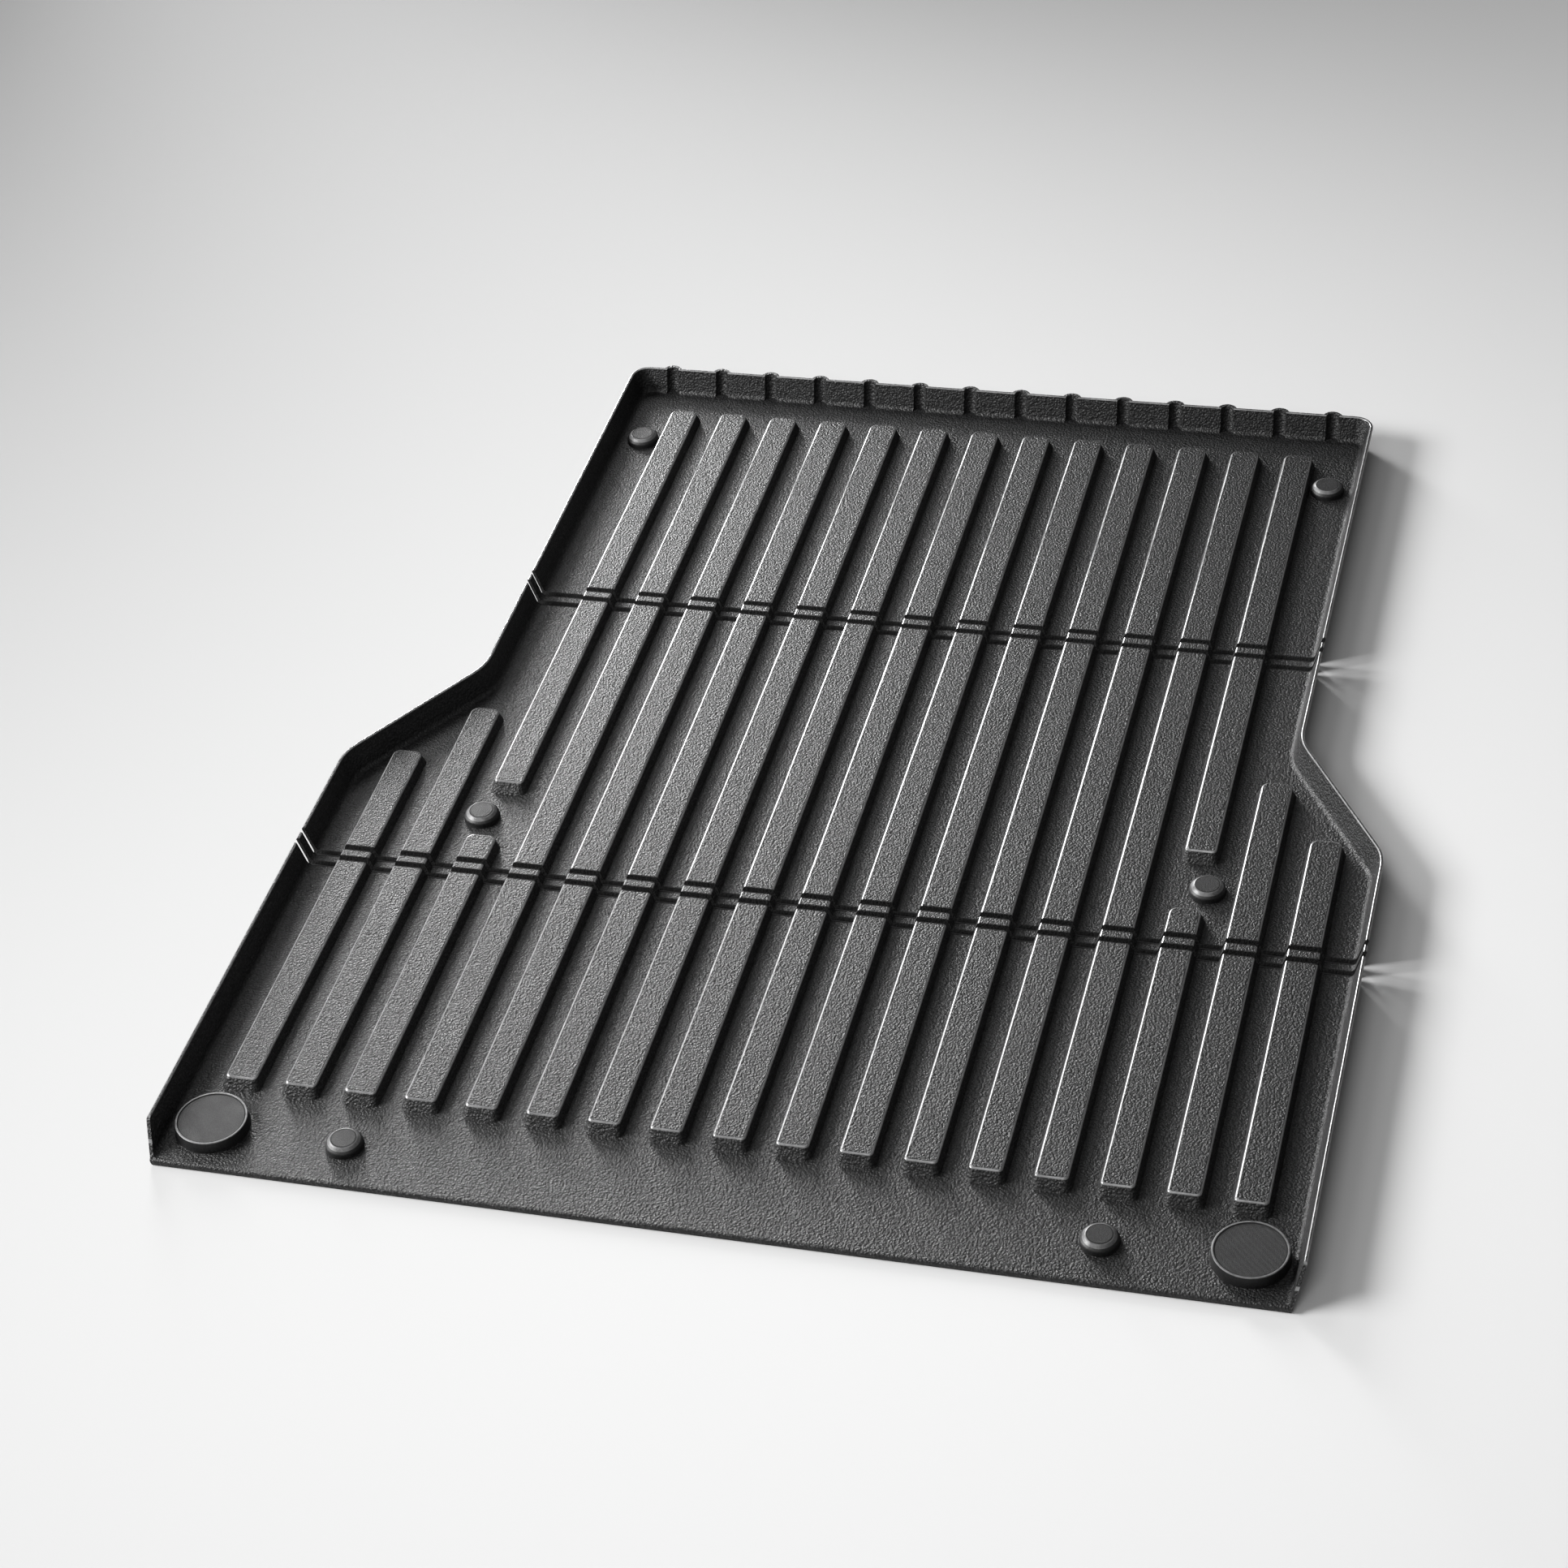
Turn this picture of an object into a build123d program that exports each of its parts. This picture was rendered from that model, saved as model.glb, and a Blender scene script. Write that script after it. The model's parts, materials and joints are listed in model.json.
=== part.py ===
from build123d import *
import os
from math import radians, tan

os.makedirs("parts", exist_ok=True)

# Folding truck bed liner. Frame: X across the bed, +Y towards the cab, +Z up,
# origin under the middle of the overall length, underside on z = 0.

# Overall tray
overall_length = 1860
tray_near = -overall_length / 2
tray_far = overall_length / 2
flute_depth = 7
wide_rim = 757
narrow_rim = 613
cab_rim = tray_far - flute_depth
rim_height = 47
step_near = -126
step_far = 102
step_bend = 80
cab_corner = 30

# Sheet and wall section
floor = 8
wall = 5
wall_lean = 17
foot_radius = 8
rim_round = 2
wall_root = 26
lip_round = 4
wall_slope_run = 40
wall_end_round = 18
rim_graze = 0.3

# Ribs of the corrugated floor
rib_pitch = 84
rib_height = 16
rib_top = floor + rib_height
rib_half_base = 27
rib_half_top = 21
rib_near = -789
rib_far = 841
rib_near_run = 12
rib_far_run = 6
rib_near_corner = 11
rib_far_corner = 17
rib_edge = 3.2
rib_skin = 5
main_ribs = 5
shoulder_rib_far = 35
outer_rib_far = -78
bolt_gap_near = -245
bolt_gap_far = -142

# Fold lines, each a narrow strip between two grooves
groove = 5
strip = 18
groove_lean = 2
tailgate_fold = -307
cab_fold = 313.5
web_radius = 1.7
web_tab = 1.6
hinge_height = 2
fold_bevel = 0.6
end_land = 8

# Flutes in the cab wall
flute_count = 14
flute_radius = 11

# Bed bolt covers
cab_bolts = (558, 765)
middle_bolts = (524, -196)
tailgate_bolts = (497, -861)
cover_base = 26
cover_top = 18
cover_height = 14
cover_round = 5
cover_skirt = 20
cover_fit = 0.1
bolt_pocket = 15
bolt_pocket_depth = 18

# Corner caps over the tie-down openings
cap_place = (683, -857)
cap_base = 50
cap_top = 48
cap_height = 16
cap_skin = 3
cap_rim = 3
cap_recess = 1
cap_gap = 0.3
tie_down_hole = 36
cap_skirt_end = 1.5

# Values worked out from the driving dimensions
lean_per_mm = tan(radians(wall_lean))
rim_run = rim_height * lean_per_mm
overshoot = 40
strip_half_span = groove / 2 + strip / 2
tailgate_strip_middle = tailgate_fold - strip_half_span
cab_strip_middle = cab_fold + strip_half_span


def tray_outline(inset):
    """Closed plan outline of the tray, set in from the outer rim line."""
    right = [
        (wide_rim - inset, tray_near - overshoot),
        (wide_rim - inset, step_near),
        (narrow_rim - inset, step_far),
        (narrow_rim - inset, cab_rim - inset),
    ]
    left = [(-x, y) for x, y in reversed(right)]
    corners = [0, step_bend, step_bend, cab_corner, cab_corner, step_bend, step_bend, 0]
    with BuildLine() as edge:
        FilletPolyline(*right, *left, radius=corners, close=True)
    make_face(edge.edges())


def rib_outline(near, far, half_width, near_corner, far_corner):
    """Rounded rectangle with tighter corners at its tailgate end."""
    corners = [near_corner, near_corner, far_corner, far_corner]
    points = [(-half_width, near), (half_width, near), (half_width, far), (-half_width, far)]
    with BuildLine() as edge:
        FilletPolyline(*points, radius=corners, close=True)
    make_face(edge.edges())


def rib(near, far):
    """One drafted rib standing on the floor, with its top edge rounded."""
    draft = rib_half_base - rib_half_top
    with BuildPart() as body:
        with BuildSketch(Plane.XY.offset(floor)):
            rib_outline(near, far, rib_half_base, rib_near_corner, rib_far_corner)
        with BuildSketch(Plane.XY.offset(rib_top)):
            rib_outline(near + rib_near_run, far - rib_far_run, rib_half_top,
                        rib_near_corner - draft, rib_far_corner - draft)
        loft(ruled=True)
        fillet(body.faces().sort_by(Axis.Z)[-1].edges(), radius=rib_edge)
    return body.part


def rib_hollow(near, far):
    """The channel under a rib, open on the underside."""
    top = rib_top - rib_skin
    with BuildPart() as body:
        with BuildSketch():
            rib_outline(near, far, rib_half_base - rib_skin, rib_near_corner, rib_near_corner)
        with BuildSketch(Plane.XY.offset(top)):
            rib_outline(near + rib_far_run, far - rib_far_run, rib_half_top - rib_skin,
                        rib_near_corner - rib_skin, rib_near_corner - rib_skin)
        loft(ruled=True)
    return body.part


def rib_runs():
    """Every rib as (x, near end, far end)."""
    runs = [(i * rib_pitch, rib_near, rib_far) for i in range(-main_ribs, main_ribs + 1)]
    for side in (-1, 1):
        broken = side * (main_ribs + 1) * rib_pitch
        runs.append((broken, bolt_gap_far, rib_far))
        runs.append((broken, rib_near, bolt_gap_near))
        runs.append((side * (main_ribs + 2) * rib_pitch, rib_near, shoulder_rib_far))
        runs.append((side * (main_ribs + 3) * rib_pitch, rib_near, outer_rib_far))
    return runs


def slot_between(low, high):
    """Keep only the slice of the current part between two positions along Y."""
    with Locations((0, (low + high) / 2, 0)):
        Box(2 * overall_length, high - low, 2 * overall_length, mode=Mode.INTERSECT)


def bevel_fold(y, into):
    """Bevel the bottom edge along a groove side, so the pieces clear at a right angle."""
    with BuildSketch(Plane.YZ.offset(-overall_length / 2)) as bevel:
        with BuildLine() as corner:
            Polyline((y, 0), (y, fold_bevel), (y + into * fold_bevel, 0), close=True)
        make_face(corner.edges())
    extrude(to_extrude=bevel.sketch, amount=overall_length, mode=Mode.SUBTRACT)


def widen_groove(y, into):
    """Lean a groove side back above the web, so the groove is wider at its mouth."""
    with BuildSketch(Plane.YZ.offset(-overall_length / 2)) as mouth:
        with BuildLine() as side:
            Polyline(
                (y, hinge_height + web_radius),
                (y + into * groove_lean, floor),
                (y + into * groove_lean, 2 * rim_height),
                (y - into * groove_lean, 2 * rim_height),
                (y - into * groove_lean, hinge_height + web_radius),
                close=True,
            )
        make_face(side.edges())
    extrude(to_extrude=mouth.sketch, amount=overall_length, mode=Mode.SUBTRACT)


def hollow_ribs(low, high):
    """Cut the channels under the ribs, stopping short of the groove sides."""
    for x, near, far in rib_runs():
        start = max(near + rib_near_run, low + end_land)
        end = min(far - rib_skin, high - end_land)
        if end - start > rib_half_base:
            with Locations((x, 0, 0)):
                add(rib_hollow(start, end), mode=Mode.SUBTRACT)


def floor_holes(places, radius):
    """Round holes through the floor, one on each side."""
    x, y = places
    with BuildSketch() as holes:
        with Locations((x, y), (-x, y)):
            Circle(radius)
    extrude(to_extrude=holes.sketch, amount=rib_top, mode=Mode.SUBTRACT)


# The whole moulding before it is parted at the fold lines: floor, wall and ribs
rib_shapes = {ends: rib(*ends) for ends in {run[1:] for run in rib_runs()}}
wall_inner_line = cab_rim - rim_run - wall
flute_line = wall_inner_line + flute_depth - flute_radius
flute_places = [((i - (flute_count - 1) / 2) * rib_pitch, flute_line) for i in range(flute_count)]
flute_floor_places = [(x, y + floor * lean_per_mm) for x, y in flute_places]
lean = Vector(0, lean_per_mm, 1)
wall_start = Plane((wide_rim, tray_near - overshoot, 0), x_dir=(1, 0, 0), z_dir=(0, -1, 0))
wall_foot = -rim_run - wall + floor * lean_per_mm

with BuildLine() as wall_line:
    FilletPolyline(
        (wide_rim, tray_near - overshoot),
        (wide_rim, step_near),
        (narrow_rim, step_far),
        (narrow_rim, cab_rim),
        (-narrow_rim, cab_rim),
        (-narrow_rim, step_far),
        (-wide_rim, step_near),
        (-wide_rim, tray_near - overshoot),
        radius=[step_bend, step_bend, cab_corner, cab_corner, step_bend, step_bend],
    )

with BuildPart() as moulding:
    with BuildSketch():
        tray_outline(rim_run + wall)
    extrude(amount=floor)
    with BuildSketch(wall_start):
        with BuildLine():
            FilletPolyline(
                (-wall_root, 0),
                (-rim_run, 0),
                (0, rim_height),
                (-wall, rim_height),
                (wall_foot, floor),
                (-wall_root, floor),
                radius=[0, 1, rim_round, rim_round, foot_radius, 0],
                close=True,
            )
        make_face()
    sweep(path=wall_line.wires()[0])
    with BuildSketch():
        with Locations(*flute_places):
            Circle(flute_radius + wall)
        with Locations((0, wall_inner_line + wall / 2)):
            Rectangle(2 * narrow_rim, 4 * flute_radius, align=(Align.CENTER, Align.MAX),
                      mode=Mode.SUBTRACT)
    extrude(amount=rim_height * lean.length, dir=lean)
    with BuildSketch(Plane.XY.offset(floor)):
        with Locations(*flute_floor_places):
            Circle(flute_radius)
    extrude(amount=rim_height * lean.length, dir=lean, mode=Mode.SUBTRACT)
    for x, near, far in rib_runs():
        with Locations((x, 0, 0)):
            add(rib_shapes[(near, far)])
    with BuildSketch(Plane.YZ.offset(-overall_length / 2)):
        with BuildLine():
            lip = RadiusArc((tray_near, floor - lip_round), (tray_near + lip_round, floor), lip_round)
            FilletPolyline(
                lip @ 1,
                (tray_near + wall_slope_run, rim_height + rim_graze),
                (tray_near + 3 * wall_slope_run, rim_height + rim_graze),
                (tray_near + 3 * wall_slope_run, rim_height + overshoot),
                (tray_near - 2 * overshoot, rim_height + overshoot),
                (tray_near - 2 * overshoot, floor - lip_round),
                lip @ 0,
                radius=[wall_end_round, 0, 0, 0, 0],
            )
        make_face()
    extrude(amount=overall_length, mode=Mode.SUBTRACT)
    split(bisect_by=Plane.XZ.offset(-tray_near), keep=Keep.BOTTOM)

# The three panels
tailgate_side = tailgate_fold - groove - strip - groove / 2
middle_near = tailgate_fold + groove / 2
middle_far = cab_fold - groove / 2
cab_side = cab_fold + groove + strip + groove / 2

with BuildPart() as tailgate_panel:
    add(moulding.part)
    slot_between(tray_near - 1, tailgate_side)
    bevel_fold(tailgate_side, -1)
    widen_groove(tailgate_side, -1)
    hollow_ribs(tray_near, tailgate_side)
    floor_holes(tailgate_bolts, cover_skirt + cover_fit)
    floor_holes(cap_place, tie_down_hole)
tailgate_panel.part.label = "tailgate_panel"
export_step(tailgate_panel.part, "parts/tailgate_panel.step")

with BuildPart() as middle_panel:
    add(moulding.part)
    slot_between(middle_near, middle_far)
    bevel_fold(middle_near, 1)
    widen_groove(middle_near, 1)
    bevel_fold(middle_far, -1)
    widen_groove(middle_far, -1)
    hollow_ribs(middle_near, middle_far)
    floor_holes(middle_bolts, cover_skirt + cover_fit)
middle_panel.part.label = "middle_panel"
export_step(middle_panel.part, "parts/middle_panel.step")

with BuildPart() as cab_panel:
    add(moulding.part)
    slot_between(cab_side, tray_far + 1)
    bevel_fold(cab_side, 1)
    widen_groove(cab_side, 1)
    hollow_ribs(cab_side, tray_far)
    floor_holes(cab_bolts, cover_skirt + cover_fit)
cab_panel.part.label = "cab_panel"
export_step(cab_panel.part, "parts/cab_panel.step")

# The strips between the grooves
for name, middle in (("tailgate_hinge_strip", tailgate_strip_middle), ("cab_hinge_strip", cab_strip_middle)):
    with BuildPart() as hinge_strip:
        add(moulding.part)
        slot_between(middle - strip / 2, middle + strip / 2)
        bevel_fold(middle - strip / 2, 1)
        widen_groove(middle - strip / 2, 1)
        bevel_fold(middle + strip / 2, -1)
        widen_groove(middle + strip / 2, -1)
    hinge_strip.part.label = name
    export_step(hinge_strip.part, f"parts/{name}.step")

# The flexible webs at the bottom of the grooves: a round bead on the fold axis with
# a flat tab that meets the strip
web_places = [
    ("tailgate_web_inner", tailgate_fold, tailgate_strip_middle, wide_rim),
    ("tailgate_web_outer", tailgate_fold - groove - strip, tailgate_strip_middle, wide_rim),
    ("cab_web_inner", cab_fold, cab_strip_middle, narrow_rim),
    ("cab_web_outer", cab_fold + groove + strip, cab_strip_middle, narrow_rim),
]
for name, fold_y, strip_y, rim in web_places:
    half = rim - rim_run - rim_round
    towards_strip = 1 if strip_y > fold_y else -1
    with BuildPart() as web:
        with BuildSketch(Plane.YZ.offset(-half)):
            with Locations((fold_y, hinge_height)):
                Circle(web_radius)
            with Locations((fold_y + towards_strip * groove / 4, hinge_height)):
                Rectangle(groove / 2, web_tab)
        extrude(amount=2 * half)
    web.part.label = name
    export_step(web.part, f"parts/{name}.step")

# Covers over the bed bolts: a dome with a skirt pressed into the floor
with BuildPart() as bolt_cover:
    with BuildSketch(Plane.XZ):
        with BuildLine():
            FilletPolyline(
                (0, floor + cover_height),
                (cover_top, floor + cover_height),
                (cover_base - 1, floor + cover_height / 2),
                (cover_base, floor),
                (cover_skirt, floor),
                (cover_skirt, 0),
                (bolt_pocket, 0),
                (bolt_pocket, bolt_pocket_depth),
                (0, bolt_pocket_depth),
                radius=[0, cover_round, cover_round, 0, 0, 0.5, 0.5, 0, 0],
                close=True,
            )
        make_face()
    revolve(axis=Axis.Z)

for end, (x, y) in (("cab", cab_bolts), ("middle", middle_bolts), ("tailgate", tailgate_bolts)):
    for side, name in ((-1, "left"), (1, "right")):
        with BuildPart() as placed_cover:
            with Locations((side * x, y, 0)):
                add(bolt_cover.part)
        placed_cover.part.label = f"bolt_cover_{end}_{name}"
        export_step(placed_cover.part, f"parts/bolt_cover_{end}_{name}.step")

# Lift-off caps over the tie-down openings
cap_rest = floor + cap_gap / 2
cap_face = floor + cap_height
cap_under = cap_face - cap_recess - cap_skin
cap_skirt = tie_down_hole - cap_gap
with BuildPart() as corner_cap:
    with BuildSketch(Plane.XZ):
        with BuildLine():
            FilletPolyline(
                (0, cap_face - cap_recess),
                (cap_top - cap_rim, cap_face - cap_recess),
                (cap_top - cap_rim, cap_face),
                (cap_top, cap_face),
                (cap_base, cap_rest),
                (cap_base - cap_skin, cap_rest),
                (cap_top - cap_skin, cap_under),
                (cap_skirt, cap_under),
                (cap_skirt, cap_skirt_end),
                (cap_skirt - cap_skin, cap_skirt_end),
                (cap_skirt - cap_skin, cap_under),
                (0, cap_under),
                radius=[0, 0.4, 0.8, 1.2, 0, 0, 0, 0, 0.6, 0.6, 0, 0],
                close=True,
            )
        make_face()
    revolve(axis=Axis.Z)

for side, name in ((-1, "left"), (1, "right")):
    with BuildPart() as placed_cap:
        with Locations((side * cap_place[0], cap_place[1], 0)):
            add(corner_cap.part)
    placed_cap.part.label = f"corner_cap_{name}"
    export_step(placed_cap.part, f"parts/corner_cap_{name}.step")
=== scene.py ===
"""Blender scene of a folding moulded truck bed liner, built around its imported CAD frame."""

import json
import logging
import math
from dataclasses import dataclass
from enum import Enum
from typing import Any, Mapping, Sequence

import bmesh
import bpy
from mathutils import Euler, Matrix, Vector


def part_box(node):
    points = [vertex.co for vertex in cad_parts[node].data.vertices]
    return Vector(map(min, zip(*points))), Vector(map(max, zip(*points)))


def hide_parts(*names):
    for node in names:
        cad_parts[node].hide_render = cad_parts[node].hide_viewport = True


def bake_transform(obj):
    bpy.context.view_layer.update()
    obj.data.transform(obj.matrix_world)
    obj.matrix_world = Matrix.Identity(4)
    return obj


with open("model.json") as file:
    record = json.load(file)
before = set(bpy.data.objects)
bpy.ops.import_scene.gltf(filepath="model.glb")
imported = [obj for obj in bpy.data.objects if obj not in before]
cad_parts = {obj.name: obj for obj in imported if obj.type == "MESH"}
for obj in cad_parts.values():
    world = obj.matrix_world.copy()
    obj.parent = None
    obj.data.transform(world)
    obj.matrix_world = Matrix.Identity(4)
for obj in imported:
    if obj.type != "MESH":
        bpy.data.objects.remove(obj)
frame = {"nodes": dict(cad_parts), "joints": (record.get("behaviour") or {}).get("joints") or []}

MM = 0.001
Colour = tuple[float, float, float]
Point = tuple[float, float, float]

log = logging.getLogger("bed_liner")


class Side(Enum):
    """The two sides of the liner, seen from the tailgate."""

    LEFT = "left"
    RIGHT = "right"


class Fold(Enum):
    """The two fold lines, each named after the end panel it carries."""

    CAB = "cab"
    TAILGATE = "tailgate"


class BoltRow(Enum):
    """The three rows of bed bolts under the liner."""

    CAB = "cab"
    MIDDLE = "middle"
    TAILGATE = "tailgate"


class Value:
    """A number that varies over a surface, usable in Python arithmetic."""

    def __init__(self, shader: "Shader", socket: bpy.types.NodeSocket) -> None:
        """Wrap one float output.

        Args:
            shader: the material that the socket belongs to.
            socket: the float output.
        """
        self.shader = shader
        self.socket = socket

    def _math(self, operation: str, first: Any, second: Any) -> "Value":
        """Add one Math node.

        Args:
            operation: the Math node's operation.
            first: the upper input.
            second: the lower input.

        Returns:
            The node's result.
        """
        node = self.shader.node("ShaderNodeMath", {"operation": operation}, {0: first, 1: second})
        return Value(self.shader, node.outputs[0])

    def __add__(self, other: Any) -> "Value":
        """self + other."""
        return self._math("ADD", self, other)

    def __radd__(self, other: Any) -> "Value":
        """other + self."""
        return self._math("ADD", other, self)

    def __sub__(self, other: Any) -> "Value":
        """self - other."""
        return self._math("SUBTRACT", self, other)

    def __rsub__(self, other: Any) -> "Value":
        """other - self."""
        return self._math("SUBTRACT", other, self)

    def __mul__(self, other: Any) -> "Value":
        """self * other."""
        return self._math("MULTIPLY", self, other)

    def __rmul__(self, other: Any) -> "Value":
        """other * self."""
        return self._math("MULTIPLY", other, self)

    def rise(self, low: float, high: float) -> "Value":
        """A smooth step of this value.

        Args:
            low: where the step leaves 0.
            high: where the step reaches 1.

        Returns:
            0 below low, 1 above high, and a smooth curve between.
        """
        node = self.shader.node(
            "ShaderNodeMapRange",
            {"interpolation_type": "SMOOTHSTEP", "clamp": True},
            {"Value": self, "From Min": low, "From Max": high, "To Min": 0.0, "To Max": 1.0},
        )
        return Value(self.shader, node.outputs["Result"])

    def window(self, low: float, high: float, soft: float) -> "Value":
        """A smooth band of this value.

        Args:
            low: the middle of the band's lower edge.
            high: the middle of the band's upper edge.
            soft: how far each edge is spread.

        Returns:
            1 inside the band and 0 outside it.
        """
        half = soft / 2
        return self.rise(low - half, low + half) * (1 - self.rise(high - half, high + half))


class Shader:
    """A node material under construction, with one Principled surface."""

    def __init__(self, name: str) -> None:
        """Start an empty node material.

        Args:
            name: the material's name.
        """
        self.material = bpy.data.materials.new(name)
        self.material.use_nodes = True
        self.tree = self.material.node_tree
        self.tree.nodes.clear()
        coordinates = self.node("ShaderNodeTexCoord")
        self.place = coordinates.outputs["Object"]
        self.facing = coordinates.outputs["Normal"]

    def node(
        self,
        kind: str,
        settings: Mapping[str, Any] | None = None,
        inputs: Mapping[Any, Any] | None = None,
    ) -> bpy.types.Node:
        """Add one node: its settings first, then its inputs.

        Args:
            kind: the node's type.
            settings: attributes of the node.
            inputs: values or links by socket name or number.

        Returns:
            The new node.
        """
        made = self.tree.nodes.new(kind)
        for name, value in (settings or {}).items():
            setattr(made, name, value)
        for name, value in (inputs or {}).items():
            if isinstance(value, Value):
                value = value.socket
            if isinstance(value, bpy.types.NodeSocket):
                self.tree.links.new(value, made.inputs[name])
            else:
                made.inputs[name].default_value = value
        return made

    def value(self, kind: str, output: Any, settings: Mapping[str, Any], inputs: Mapping[Any, Any]) -> Value:
        """Add one node and wrap one of its outputs.

        Args:
            kind: the node's type.
            output: the output's name or number.
            settings: attributes of the node.
            inputs: values or links by socket name or number.

        Returns:
            The chosen output as a value.
        """
        return Value(self, self.node(kind, settings, inputs).outputs[output])

    def axis(self, vector: bpy.types.NodeSocket, name: str) -> Value:
        """One component of a vector, by the name X, Y or Z."""
        return self.value("ShaderNodeSeparateXYZ", name, {}, {0: vector})

    def noise(self, size: float, detail: float = 2.0, roughness: float = 0.5) -> Value:
        """Smooth noise in the object's own space.

        Args:
            size: the size of its largest features, in metres.
            detail: how many finer layers are added.
            roughness: how strong the finer layers are.

        Returns:
            The noise, from 0 to 1.
        """
        return self.value(
            "ShaderNodeTexNoise",
            "Fac",
            {"noise_dimensions": "3D"},
            {"Vector": self.place, "Scale": 1 / size, "Detail": detail, "Roughness": roughness},
        )

    def cells(self, size: float) -> Value:
        """Pebbled cells in the object's own space, with bent outlines.

        Args:
            size: the pitch of the cells, in metres.

        Returns:
            The distance from the cell's middle, about 0 to 1.
        """
        bend = self.node(
            "ShaderNodeTexNoise", {}, {"Vector": self.place, "Scale": 0.6 / size, "Detail": 1.0}
        ).outputs["Color"]
        shift = self.node(
            "ShaderNodeVectorMath", {"operation": "SCALE"}, {0: bend, "Scale": 0.9 * size}
        ).outputs[0]
        moved = self.node("ShaderNodeVectorMath", {"operation": "ADD"}, {0: self.place, 1: shift}).outputs[0]
        inputs = {"Vector": moved, "Scale": 1 / size, "Randomness": 1.0}
        return self.value("ShaderNodeTexVoronoi", "Distance", {"feature": "F1"}, inputs)

    def distance(self, centre: Point) -> Value:
        """Distance from an upright axis.

        Args:
            centre: a point on the axis.

        Returns:
            The distance in metres.
        """
        away = self.node(
            "ShaderNodeVectorMath", {"operation": "SUBTRACT"}, {0: self.place, 1: centre}
        ).outputs[0]
        flat = self.node(
            "ShaderNodeVectorMath", {"operation": "MULTIPLY"}, {0: away, 1: (1.0, 1.0, 0.0)}
        ).outputs[0]
        return self.value("ShaderNodeVectorMath", "Value", {"operation": "LENGTH"}, {0: flat})

    def blend(self, factor: Value, low: Any, high: Any) -> bpy.types.NodeSocket:
        """Mix two colours.

        Args:
            factor: 0 for the first colour and 1 for the second.
            low: a colour or a colour socket.
            high: a colour or a colour socket.

        Returns:
            The mixed colour's socket.
        """
        node = self.node("ShaderNodeMix", {"data_type": "RGBA", "clamp_factor": True}, {"Factor": factor})
        for number, colour in ((6, low), (7, high)):
            if isinstance(colour, bpy.types.NodeSocket):
                self.tree.links.new(colour, node.inputs[number])
            else:
                node.inputs[number].default_value = (*colour, 1.0)
        return node.outputs[2]

    def bump(self, height: Value, depth: float) -> bpy.types.NodeSocket:
        """Turn a height into a surface normal.

        Args:
            height: the height pattern.
            depth: the height of one unit, in metres.

        Returns:
            The normal's socket.
        """
        inputs = {"Strength": 1.0, "Distance": depth, "Height": height}
        return self.node("ShaderNodeBump", {}, inputs).outputs[0]

    def surface(self, inputs: Mapping[str, Any]) -> bpy.types.Material:
        """Finish the material with a Principled surface.

        Args:
            inputs: values or links of the surface's sockets.

        Returns:
            The finished material.
        """
        surface = self.node("ShaderNodeBsdfPrincipled", {}, inputs)
        self.node("ShaderNodeOutputMaterial", {}, {"Surface": surface.outputs[0]})
        return self.material


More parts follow.
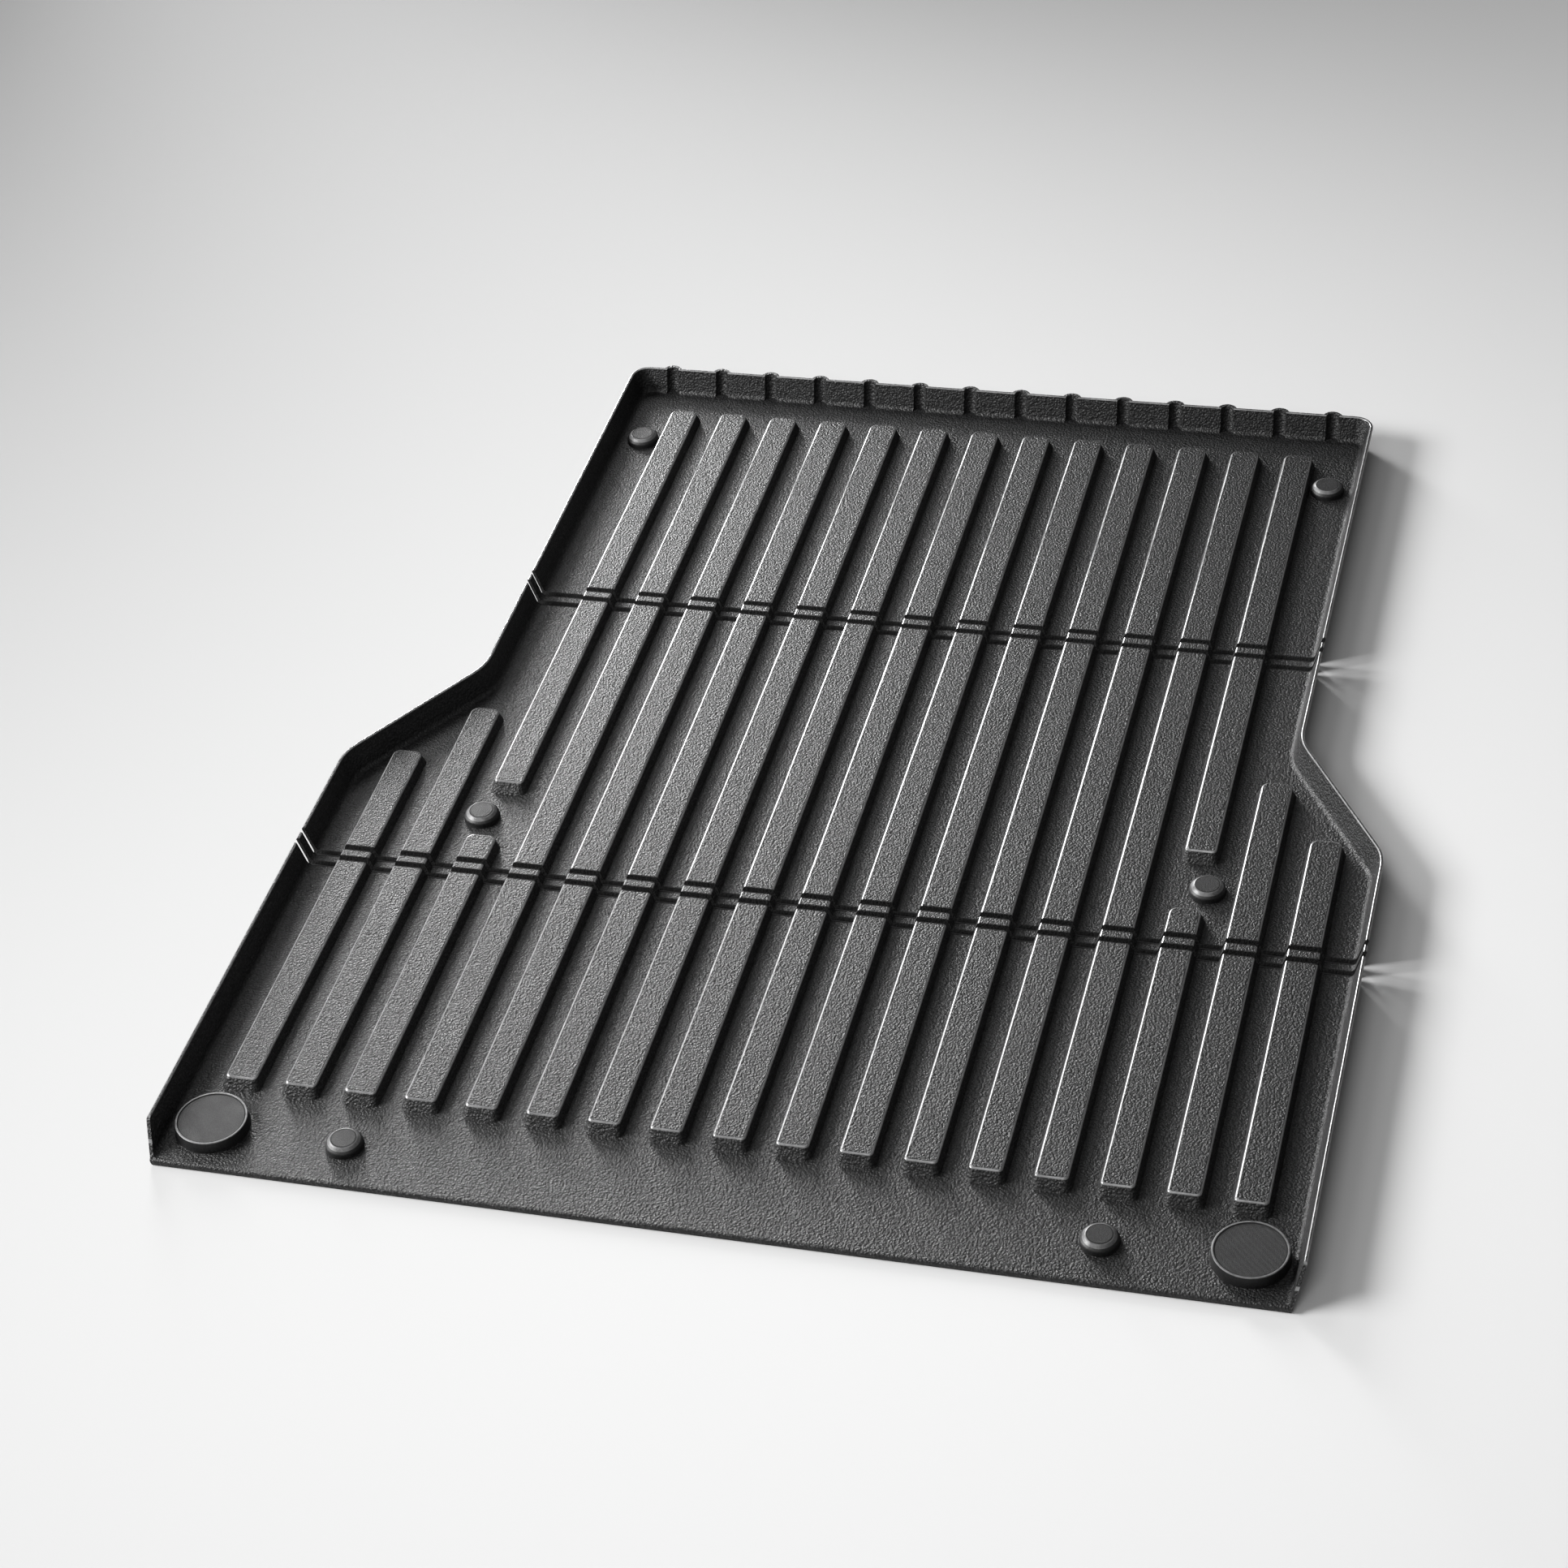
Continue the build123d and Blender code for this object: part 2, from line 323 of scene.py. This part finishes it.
@dataclass(frozen=True)
class PebblePlastic:
    """Black moulded plastic with a pebble grain on its upper faces, a painted highlight along its rounded
    edges and painted shade along its fold grooves.

    Attributes:
        name: the material's name.
        pit: the colour in the grain's valleys.
        crest: the colour of the grain's tops.
        rubbed_highlight: the pale colour along the rounded edges, partly wear and partly a painted highlight.
        grain: the pitch of the pebbles, in metres.
        depth: the height of the pebbles, in metres.
        gloss: the lowest roughness.
        matt: the highest roughness.
        polish: how much smoother the rounded edges are, from 0 to 1.
        rib_top: the height of the rib tops, in metres.
        rim: the height of the wall rim, in metres.
        folds: the fold axes along Y, where shade is painted, in metres.
        fold_band: half the width of the painted shade along each fold, in metres.
        groove_shade: the colour of the painted shade along the grooves.
        groove_shade_matt: the roughness of the painted shade.
        coat_roughness: the roughness of the polished edges' gloss.
    """

    name: str
    pit: Colour = (0.001, 0.001, 0.0011)
    crest: Colour = (0.018, 0.018, 0.0186)
    rubbed_highlight: Colour = (0.26, 0.26, 0.262)
    grain: float = 0.0034
    depth: float = 0.0014
    gloss: float = 0.29
    matt: float = 0.5
    polish: float = 0.35
    rib_top: float = 0.024
    rim: float = 0.047
    folds: tuple[float, ...] = ()
    fold_band: float = 0.0062
    groove_shade: Colour = (0.0008, 0.0008, 0.0008)
    groove_shade_matt: float = 0.95
    coat_roughness: float = 0.2

    def make(self) -> bpy.types.Material:
        """Build the material.

        Returns:
            The finished material.
        """
        s = Shader(self.name)
        pebbles = 1 - s.cells(self.grain)
        fine = s.noise(self.grain * 0.45, detail=2.0, roughness=0.6)
        patches = s.noise(0.012, detail=3.0, roughness=0.6)
        drift = s.noise(0.28, detail=3.0, roughness=0.55)
        up = s.axis(s.facing, "Z")
        height = s.axis(s.place, "Z")
        under = 1 - up.rise(-0.6, -0.2)
        rounded = up.window(0.4, 0.975, 0.04)
        rib_edge = height.window(self.rib_top - 0.002, self.rib_top + 0.002, 0.001)
        edge = rounded * (rib_edge + height.rise(self.rim - 0.0025, self.rim - 0.001))
        # Patchy part of the pale edge colour: wear, and also a painted highlight.
        scuff_and_highlight = edge * s.noise(0.03, detail=4.0, roughness=0.7).rise(0.35, 0.7)
        relief = (pebbles * 0.8 + fine * 0.45) * (1 - under * 0.8) * (1 - edge * 0.85)
        tone = (pebbles.rise(0.35, 0.95) * 0.55 + fine * 0.35 + patches * 0.1).rise(0.18, 0.82)
        colour = s.blend(tone, self.pit, self.crest)
        # Painted highlight: the rounded rib-top edges and the rim are painted pale, partly as patchy wear.
        colour = s.blend(edge * 0.5 + scuff_and_highlight * 0.4, colour, self.rubbed_highlight)
        unevenness = (tone * -0.5 + fine * 0.4 + drift * 0.4 + 0.42).rise(0.1, 0.75)
        roughness = self.gloss + unevenness * (self.matt - self.gloss)
        roughness = roughness * (1 - edge * self.polish) + under * 0.05
        # Painted shade along the fold grooves: a darker, duller band round each fold.
        groove_shade = self.fold_groove_shade(s)
        if groove_shade is not None:
            colour = s.blend(groove_shade, colour, self.groove_shade)
            roughness = roughness + groove_shade * (self.groove_shade_matt - self.gloss)
        return s.surface(
            {
                "Base Color": colour,
                "Roughness": roughness,
                "IOR": 1.5,
                "Coat Weight": edge,
                "Coat Roughness": self.coat_roughness,
                "Normal": s.bump(relief, self.depth),
            }
        )

    def fold_groove_shade(self, s: Shader) -> Value | None:
        """Painted shade: a dull dark band along the mouths of the fold grooves.

        Args:
            s: the material under construction.

        Returns:
            1 where dirt lies and 0 elsewhere, or None where there are no folds.
        """
        along = s.axis(s.place, "Y")
        groove_shade = None
        for fold in self.folds:
            band = along.window(fold - self.fold_band, fold + self.fold_band, 0.0008)
            groove_shade = band if groove_shade is None else groove_shade + band
        return groove_shade


@dataclass(frozen=True)
class DiscPlastic:
    """Black plastic of a round piece: a fine grained face inside a smooth satin rim, the rim painted pale as
    a highlight and the seam inside it painted dark as shade.

    Attributes:
        name: the material's name.
        centre: a point on the piece's upright axis.
        face: the radius of the grained face, in metres.
        rim: the radius of the outer edge of the rim, in metres.
        grain: the pitch of the face's grain, in metres.
        hatch: the pitch of the fine ridges on the face, or 0 for none.
        pit: the colour in the grain's valleys.
        crest: the colour of the grain's tops.
        rubbed_highlight: the colour of the rim.
        satin: the lowest roughness of the sides.
        depth: the height of the grain, in metres.
    """

    name: str
    centre: Point
    face: float
    rim: float
    grain: float = 0.0013
    hatch: float = 0.0
    pit: Colour = (0.001, 0.001, 0.0011)
    crest: Colour = (0.02, 0.02, 0.0207)
    # rubbed_highlight: the pale colour of the rim, partly wear and partly a painted highlight.
    rubbed_highlight: Colour = (0.3, 0.3, 0.302)
    satin: float = 0.42
    depth: float = 0.0003

    def make(self) -> bpy.types.Material:
        """Build the material.

        Returns:
            The finished material.
        """
        s = Shader(self.name)
        radius = s.distance(self.centre)
        up = s.axis(s.facing, "Z")
        face = (1 - radius.rise(self.face - 0.0006, self.face + 0.0002)) * up.rise(0.7, 0.9)
        rim = radius.window(self.face, self.rim, 0.0008) * up.rise(0.1, 0.6)
        pebbles = 1 - s.cells(self.grain)
        fine = s.noise(self.grain * 0.5, detail=2.0, roughness=0.6)
        drift = s.noise(0.02, detail=3.0)
        relief = pebbles * (0.25 + face * 0.6) + fine * 0.35
        if self.hatch:
            ridges = s.value(
                "ShaderNodeTexWave",
                "Fac",
                {"wave_type": "BANDS", "bands_direction": "DIAGONAL"},
                {"Vector": s.place, "Scale": 0.1 / self.hatch, "Distortion": 1.5, "Detail": 1.0},
            )
            relief = relief + ridges * face * 0.35
        # Patchy part of the rim's pale colour: wear, and also a painted highlight.
        wear_and_highlight = rim * s.noise(0.008, detail=4.0, roughness=0.7).rise(0.25, 0.65)
        tone = (pebbles.rise(0.35, 0.95) * 0.6 + fine * 0.4).rise(0.15, 0.85)
        colour = s.blend(tone, self.pit, self.crest)
        # Painted shade: a dark ring at the recess just inside the rim.
        seam_shade = radius.window(self.face - 0.0014, self.face + 0.0004, 0.0005) * up.rise(0.3, 0.6)
        # Painted highlight: the rim is painted pale, with patchy wear.
        colour = s.blend(rim * 0.2 + wear_and_highlight * 0.3, colour, self.rubbed_highlight)
        colour = s.blend(seam_shade, colour, self.pit)
        unevenness = (fine * 0.5 + drift * 0.5).rise(0.3, 0.7)
        roughness = self.satin + unevenness * 0.16 - rim * 0.14 + face * 0.12 + seam_shade * 0.3
        return s.surface(
            {"Base Color": colour, "Roughness": roughness, "IOR": 1.5, "Normal": s.bump(relief, self.depth)}
        )


@dataclass(frozen=True)
class WebPlastic:
    """The smoother, stretched plastic of a living hinge.

    Attributes:
        name: the material's name.
        base: the main colour.
        stressed: the paler colour where bending has whitened it.
        middle: the fold axis along Y, in metres.
    """

    name: str
    middle: float
    base: Colour = (0.012, 0.012, 0.0125)
    stressed: Colour = (0.028, 0.028, 0.029)

    def make(self) -> bpy.types.Material:
        """Build the material.

        Returns:
            The finished material.
        """
        s = Shader(self.name)
        along = s.axis(s.place, "Y")
        crease = along.window(self.middle - 0.0006, self.middle + 0.0006, 0.0008)
        streaks = s.value(
            "ShaderNodeTexNoise",
            "Fac",
            {},
            {
                "Vector": s.node(
                    "ShaderNodeVectorMath", {"operation": "MULTIPLY"}, {0: s.place, 1: (4.0, 1.0, 1.0)}
                ).outputs[0],
                "Scale": 180.0,
                "Detail": 3.0,
            },
        )
        colour = s.blend(crease * streaks.rise(0.35, 0.7), self.base, self.stressed)
        roughness = 0.42 + streaks * 0.2
        return s.surface({"Base Color": colour, "Roughness": roughness, "Normal": s.bump(streaks, 0.00008)})


@dataclass(frozen=True)
class StudioPaper:
    """Plain pale floor paper, painted darker towards the lamps: painted shade meant to keep it even under the
    one-sided light.

    Attributes:
        name: the material's name.
        shaded_near_lamps: the painted shade of the paper nearest to the lamps.
        pale: the colour away from the lamps.
        lamp_side: the middle of the graded area, on the floor.
        inner: the radius at which the paper starts to pale, in metres.
        outer: the radius at which it is palest, in metres.
    """

    name: str = "studio_paper"
    shaded_near_lamps: Colour = (0.229, 0.229, 0.229)
    pale: Colour = (0.886, 0.886, 0.886)
    lamp_side: Point = (-7.06, 1.95, 0.0)
    inner: float = 4.99
    outer: float = 10.14

    def make(self) -> bpy.types.Material:
        """Build the material.

        Returns:
            The finished material.
        """
        s = Shader(self.name)
        away = s.distance(self.lamp_side).rise(self.inner, self.outer)
        fibre = s.noise(0.004, detail=3.0, roughness=0.6)
        # Painted shade: the paper darkens towards the lamps.
        colour = s.blend(away, self.shaded_near_lamps, self.pale)
        return s.surface(
            {
                "Base Color": colour,
                "Roughness": 0.8 + fibre * 0.1,
                "Specular IOR Level": 0.1,
                "Normal": s.bump(fibre, 0.00004),
            }
        )


def dress(piece: bpy.types.Object, material: bpy.types.Material) -> None:
    """Give every slot of a piece one material.

    Args:
        piece: the object to dress.
        material: its finish.
    """
    slots = piece.data.materials
    if not slots:
        slots.append(material)
    for number in range(len(slots)):
        slots[number] = material


def link_mesh(name: str, shape: bmesh.types.BMesh, smooth_angle: float = 30.0) -> bpy.types.Object:
    """Turn built geometry into an object in the scene.

    Args:
        name: the object's name.
        shape: the geometry, which is freed.
        smooth_angle: edges bent by less than this many degrees are shaded smooth.

    Returns:
        The new object.
    """
    bmesh.ops.recalc_face_normals(shape, faces=shape.faces)
    mesh = bpy.data.meshes.new(name)
    shape.to_mesh(mesh)
    shape.free()
    mesh.shade_smooth()
    mesh.set_sharp_from_angle(angle=math.radians(smooth_angle))
    made = bpy.data.objects.new(name, mesh)
    bpy.context.scene.collection.objects.link(made)
    return made


@dataclass
class Panels:
    """The three ribbed panels and the two strips between the fold grooves.

    Attributes:
        folds: the fold axes along Y, in metres.
    """

    folds: tuple[float, ...]

    def dress(self, nodes: Mapping[str, bpy.types.Object]) -> None:
        """Give the moulding's pieces their grained finish.

        Args:
            nodes: the CAD nodes by name.
        """
        panel = PebblePlastic("panel_plastic", folds=self.folds).make()
        strip = PebblePlastic("strip_plastic", grain=0.003, folds=self.folds).make()
        for name in ("cab_panel", "middle_panel", "tailgate_panel"):
            dress(nodes[name], panel)
            log.info("dressed %s", name)
        for fold in Fold:
            dress(nodes[f"{fold.value}_hinge_strip"], strip)
            log.info("dressed %s_hinge_strip", fold.value)


@dataclass
class FoldWebs:
    """The four living hinges, each a thin sheet across the bottom of a groove.

    Attributes:
        groove: the width of a groove, in metres.
        thickness: the thickness of the sheet at its edges, in metres.
        waist: the thickness in the middle of the sheet, in metres.
        bite: how far the sheet reaches into each side of the groove, in metres.
        steps: the number of faces across the groove.
        columns: the number of faces along the groove.
    """

    groove: float = 5 * MM
    thickness: float = 1.7 * MM
    waist: float = 1.0 * MM
    bite: float = 0.25 * MM
    steps: int = 10
    columns: int = 24

    def sheet(self, name: str, low: Vector, high: Vector) -> bpy.types.Object:
        """Build one flexible sheet, thinner along its middle.

        Args:
            name: the object's name.
            low: the lowest corner of the CAD web.
            high: the highest corner of the CAD web.

        Returns:
            The sheet.
        """
        middle_z = (low.z + high.z) / 2
        fold = self.fold_line(low, high)
        near = fold - self.groove / 2 - self.bite
        width = self.groove + 2 * self.bite
        shape = bmesh.new()
        grid: list[list[list[bmesh.types.BMVert]]] = []
        for side in (-1, 1):
            rows = []
            for i in range(self.steps + 1):
                t = i / self.steps
                half = (self.waist + (self.thickness - self.waist) * abs(2 * t - 1) ** 2) / 2
                y, z = near + width * t, middle_z + side * half
                spread = (high.x - low.x) / self.columns
                rows.append([shape.verts.new((low.x + spread * j, y, z)) for j in range(self.columns + 1)])
            grid.append(rows)
        bottom, top = grid
        for i in range(self.steps):
            for j in range(self.columns):
                for rows in (bottom, top):
                    shape.faces.new((rows[i][j], rows[i][j + 1], rows[i + 1][j + 1], rows[i + 1][j]))
        for i in range(self.steps):
            for j in (0, self.columns):
                shape.faces.new((bottom[i][j], bottom[i + 1][j], top[i + 1][j], top[i][j]))
        for j in range(self.columns):
            for i in (0, self.steps):
                shape.faces.new((bottom[i][j], bottom[i][j + 1], top[i][j + 1], top[i][j]))
        return link_mesh(name, shape)

    def fold_line(self, low: Vector, high: Vector) -> float:
        """The fold axis along Y of the joint nearest to a web's box."""
        centre = (low.y + high.y) / 2
        places = [joint["pos_m"][1] for joint in frame["joints"] if joint["type"] == "hinge"]
        return min(places, key=lambda y: abs(y - centre))

    def build(self) -> None:
        """Replace the four CAD webs with sheets across their fold lines."""
        for fold in Fold:
            strip = f"{fold.value}_strip"
            for which, bodies in (("inner", ("middle", strip)), ("outer", (strip, fold.value))):
                node = f"{fold.value}_web_{which}"
                low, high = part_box(node)
                line = self.fold_line(low, high)
                web = self.sheet(f"{node}_sheet", low, high)
                dress(web, WebPlastic(f"{node}_plastic", middle=line).make())
                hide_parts(node)
                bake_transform(web)
                log.info("built %s_sheet", node)


@dataclass
class BoltCovers:
    """The six round covers over the bed bolts.

    Attributes:
        top: the radius of the grained top, in metres.
        base: the radius of the base, in metres.
    """

    top: float = 17 * MM
    base: float = 22 * MM

    def dress(self, nodes: Mapping[str, bpy.types.Object]) -> None:
        """Give each cover a finish centred on it.

        Args:
            nodes: the CAD nodes by name.
        """
        for row in BoltRow:
            for side in Side:
                name = f"bolt_cover_{row.value}_{side.value}"
                low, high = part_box(name)
                finish = DiscPlastic(f"{name}_plastic", tuple((low + high) / 2), self.top, self.base)
                dress(nodes[name], finish.make())
                log.info("dressed %s", name)


@dataclass
class CornerCaps:
    """The two lift-off caps over the tie-down openings.

    Attributes:
        face: the radius of the recessed face, in metres.
        rim: the outer radius of the raised rim, in metres.
        hatch: the pitch of the fine ridges on the face, in metres.
        grain: the pitch of the face's grain, in metres.
    """

    face: float = 45 * MM
    rim: float = 48.6 * MM
    hatch: float = 1.6 * MM
    grain: float = 0.0011

    def dress(self, nodes: Mapping[str, bpy.types.Object]) -> None:
        """Give each cap a finish centred on it.

        Args:
            nodes: the CAD nodes by name.
        """
        for side in Side:
            name = f"corner_cap_{side.value}"
            low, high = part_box(name)
            centre = tuple((low + high) / 2)
            finish = DiscPlastic(
                f"{name}_plastic", centre, self.face, self.rim, grain=self.grain, hatch=self.hatch
            )
            dress(nodes[name], finish.make())
            log.info("dressed %s", name)


@dataclass
class SoftBox:
    """One soft rectangular lamp that faces the object.

    Attributes:
        name: the lamp's name.
        azimuth: its turn from the cab end, positive to the right, in degrees.
        elevation: its height above the horizon, in degrees.
        size: its width and height, in metres.
        power: its power, in watts.
        spread: the full angle of its beam, in degrees.
        distance: from the aim to the lamp, in metres.
        aim: the point that it faces.
    """

    name: str
    azimuth: float
    elevation: float
    size: tuple[float, float]
    power: float
    spread: float = 180.0
    distance: float = 4.6
    aim: Point = (-0.1, 0.1, 0.0)

    def build(self) -> None:
        """Put the lamp in the scene."""
        turn, rise = math.radians(self.azimuth), math.radians(self.elevation)
        away = Vector((math.sin(turn) * math.cos(rise), math.cos(turn) * math.cos(rise), math.sin(rise)))
        data = bpy.data.lights.new(self.name, "AREA")
        data.shape = "RECTANGLE"
        data.size, data.size_y = self.size
        data.energy = self.power
        data.spread = math.radians(self.spread)
        lamp = bpy.data.objects.new(self.name, data)
        lamp.location = Vector(self.aim) + away * self.distance
        lamp.rotation_euler = away.to_track_quat("Z", "Y").to_euler()
        bpy.context.scene.collection.objects.link(lamp)
        log.info("built %s", self.name)


@dataclass
class Studio:
    """The pale floor, the soft light and the camera.

    Attributes:
        floor_size: the side of the floor sheet, in metres.
        floor_cells: the number of faces along a side of the floor sheet.
        floor_gap: how far the floor lies below the object, in metres.
        air: the brightness of the surroundings.
        lamps: the soft lamps.
        target: the point on the floor that the camera looks at.
        azimuth: the camera's turn round the object, in degrees.
        elevation: its height above the horizon, in degrees.
        roll: its turn about its own axis, in degrees.
        distance: from the target to the camera, in metres.
        lens: the focal length, in millimetres.
        sensor: the width of the camera's sensor, in millimetres.
        reach: how far the camera sees, in metres.
    """

    floor_size: float = 30.0
    floor_cells: int = 60
    floor_gap: float = 0.0005
    air: float = 0.13
    lamps: Sequence[SoftBox] = (
        SoftBox("key_box", -33.0, 40.0, (1.3, 1.3), 12.5, spread=90.0),
        SoftBox("edge_panel", -36.0, 16.0, (1.0, 1.8), 34.0, spread=60.0),
        SoftBox("side_box", -104.0, 32.0, (2.6, 1.6), 165.0, spread=110.0),
        SoftBox("front_box", 180.0, 45.0, (2.0, 2.0), 35.0),
        SoftBox("top_box", 0.0, 89.0, (2.4, 2.4), 12.0),
    )
    target: Point = (-0.11343, -0.04909, 0.0)
    azimuth: float = 18.1227
    elevation: float = 39.2736
    roll: float = -6.0834
    distance: float = 5.1994
    lens: float = 82.837
    sensor: float = 36.0
    reach: float = 100.0

    def build_floor(self) -> None:
        """Lay the floor sheet just under the object."""
        shape = bmesh.new()
        cells = self.floor_cells
        bmesh.ops.create_grid(shape, x_segments=cells, y_segments=cells, size=self.floor_size / 2)
        floor = link_mesh("studio_floor", shape)
        floor.location.z = -self.floor_gap
        dress(floor, StudioPaper().make())
        log.info("built studio_floor")

    def build_light(self) -> None:
        """Light the scene softly."""
        world = bpy.data.worlds.new("studio_air")
        bpy.context.scene.world = world
        world.use_nodes = True
        background = world.node_tree.nodes["Background"]
        background.inputs["Color"].default_value = (1.0, 1.0, 1.0, 1.0)
        background.inputs["Strength"].default_value = self.air
        for lamp in self.lamps:
            lamp.build()
        bpy.context.scene.view_settings.view_transform = "Standard"

    def build_camera(self) -> None:
        """Stand the camera in front of the tailgate end, above it and a little to the right."""
        data = bpy.data.cameras.new("camera")
        data.sensor_width = self.sensor
        data.sensor_fit = "HORIZONTAL"
        data.lens = self.lens
        data.clip_end = self.reach
        level = Euler((math.radians(90 - self.elevation), 0.0, math.radians(self.azimuth))).to_matrix()
        turned = level @ Matrix.Rotation(math.radians(self.roll), 3, "Z")
        camera = bpy.data.objects.new("camera", data)
        back = level @ Vector((0.0, 0.0, 1.0))
        camera.matrix_world = Matrix.Translation(Vector(self.target) + back * self.distance) @ turned.to_4x4()
        bpy.context.scene.collection.objects.link(camera)
        bpy.context.scene.camera = camera
        log.info("built camera")

    def build(self) -> None:
        """Build the floor, the light and the camera."""
        self.build_floor()
        self.build_light()
        self.build_camera()


def main() -> None:
    """Build the scene piece by piece."""
    logging.basicConfig(level=logging.INFO, format="%(name)s: %(message)s")
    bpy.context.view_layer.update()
    nodes = frame["nodes"]
    folds = tuple(joint["pos_m"][1] for joint in frame["joints"] if joint["type"] == "hinge")
    Panels(folds).dress(nodes)
    FoldWebs().build()
    BoltCovers().dress(nodes)
    CornerCaps().dress(nodes)
    Studio().build()


if __name__ == "__main__":
    main()
